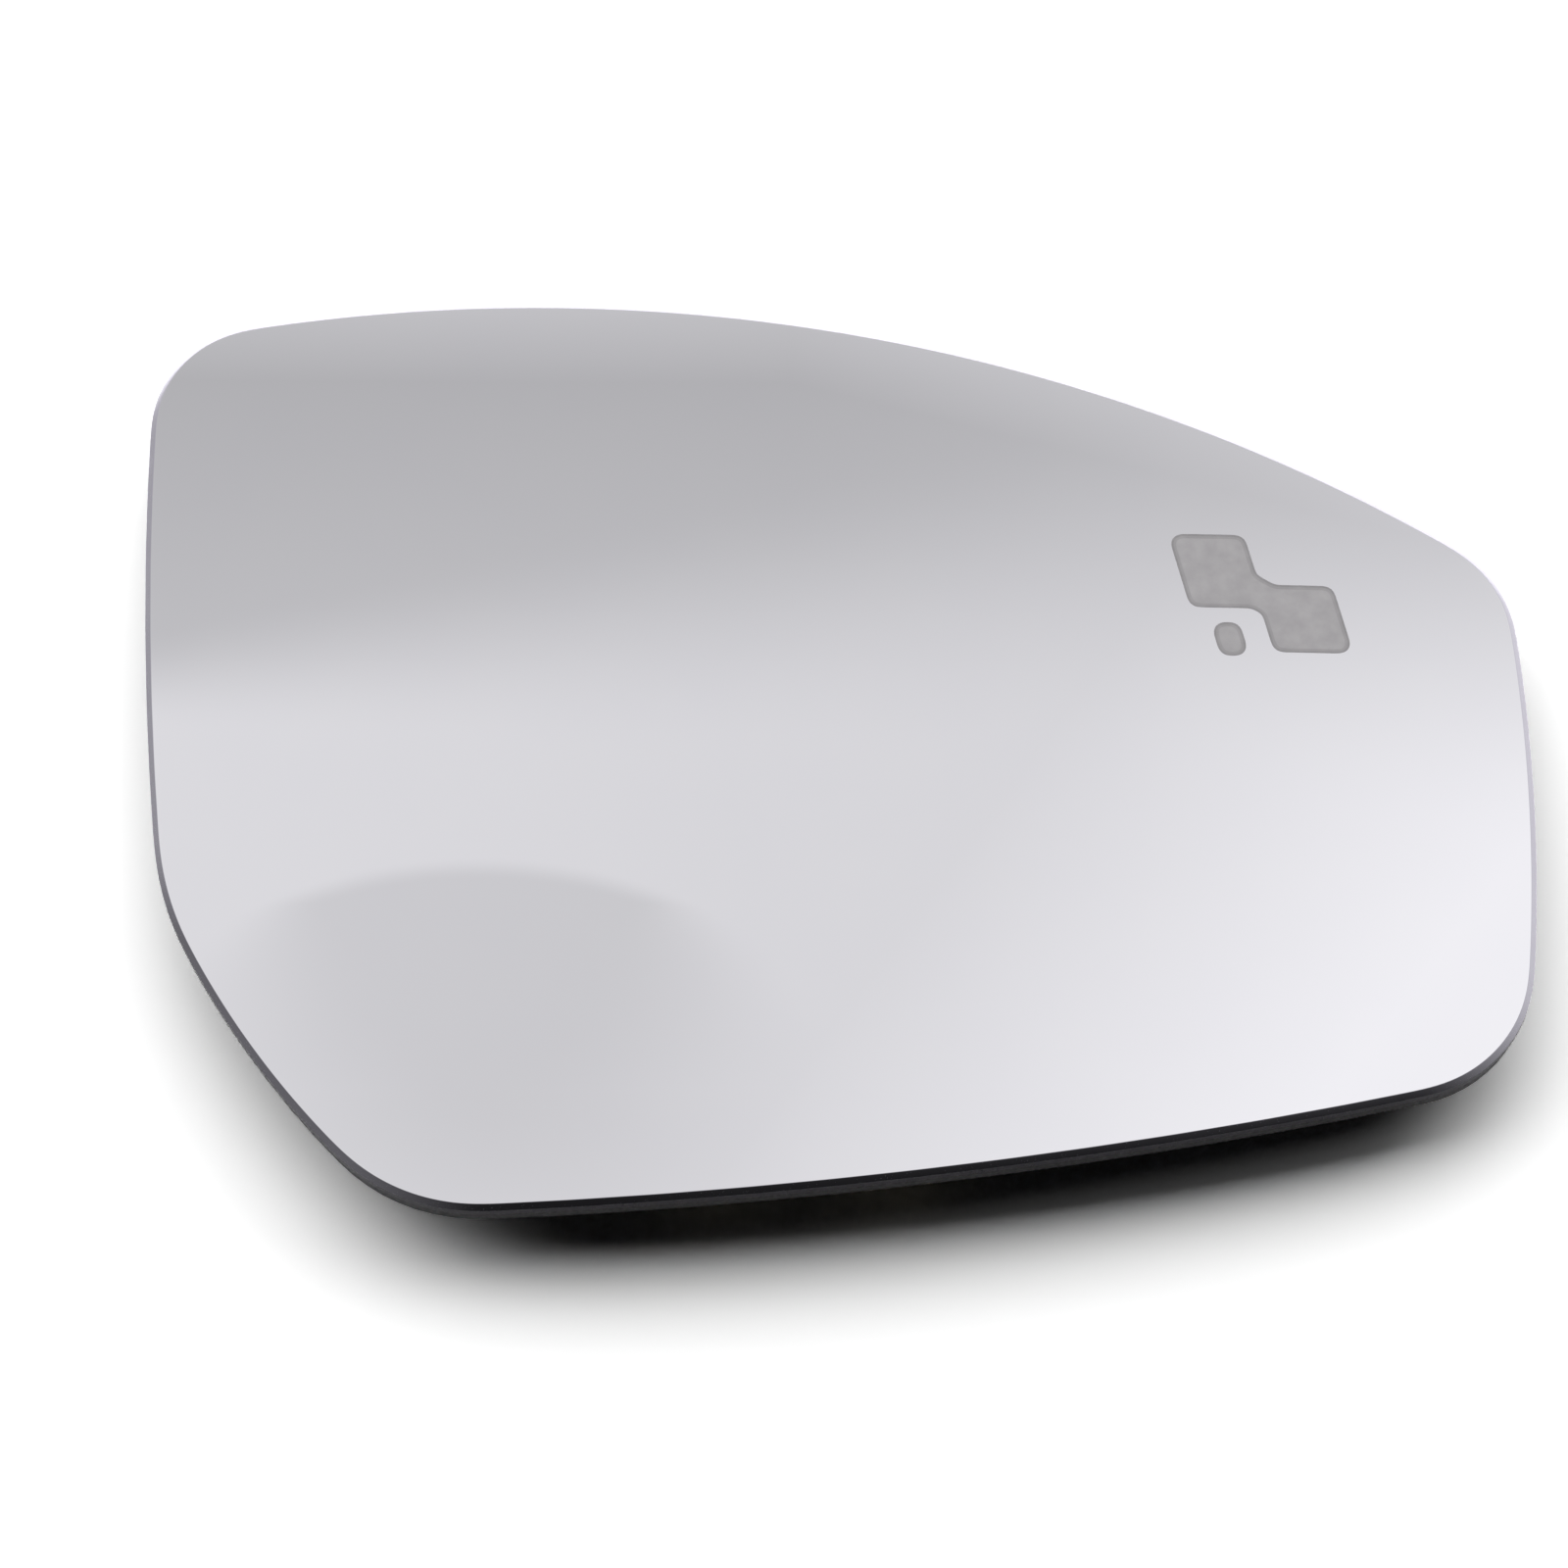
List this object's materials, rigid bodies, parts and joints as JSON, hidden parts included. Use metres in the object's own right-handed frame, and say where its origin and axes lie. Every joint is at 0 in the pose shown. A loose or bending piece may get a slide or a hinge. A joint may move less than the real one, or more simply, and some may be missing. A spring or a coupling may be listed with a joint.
{
  "type": "car door mirror glass",
  "caption": "Convex car door mirror glass with a frosted warning sign, on a heated moulded plate whose collar and hooks fit the mirror's actuator.",
  "frame": {"origin": "on the axis of the actuator collar's bore, in the plane of the ring that the part rests on", "axes": "+X along the mirror towards the end with the sign, +Y towards its curved top edge, +Z out of the mirror face"},
  "size_m": [0.1926, 0.1369, 0.0169],
  "materials": {
    "mirror_glass": "polished",
    "sign_frosting": "satin",
    "heater_film": "satin",
    "heater_foil": "satin",
    "blade_brass": "satin",
    "plate_plastic": "matte",
    "gasket_foam": "matte",
    "light_guide": "satin",
    "lamp_plastic": "matte",
    "board": "satin",
    "diode": "satin",
    "resistor": "satin"
  },
  "bodies": {
    "root": {"mirror_glass": "mirror_glass", "sign_double_field": "sign_frosting", "sign_small_field": "sign_frosting", "heater_pad": "heater_film", "heater_track": "heater_foil", "heater_blade_left": "blade_brass", "heater_blade_right": "blade_brass", "blade_rivet_left": "blade_brass", "blade_rivet_right": "blade_brass", "backing_plate": "plate_plastic", "lamp_gasket": "gasket_foam", "lamp_light_guide": "light_guide", "lamp_housing": "lamp_plastic", "lamp_board": "board", "lamp_led_1": "diode", "lamp_led_2": "diode", "lamp_led_3": "diode", "lamp_resistor": "resistor", "lamp_pin_left": "blade_brass", "lamp_pin_right": "blade_brass"}
  },
  "joints": []
}
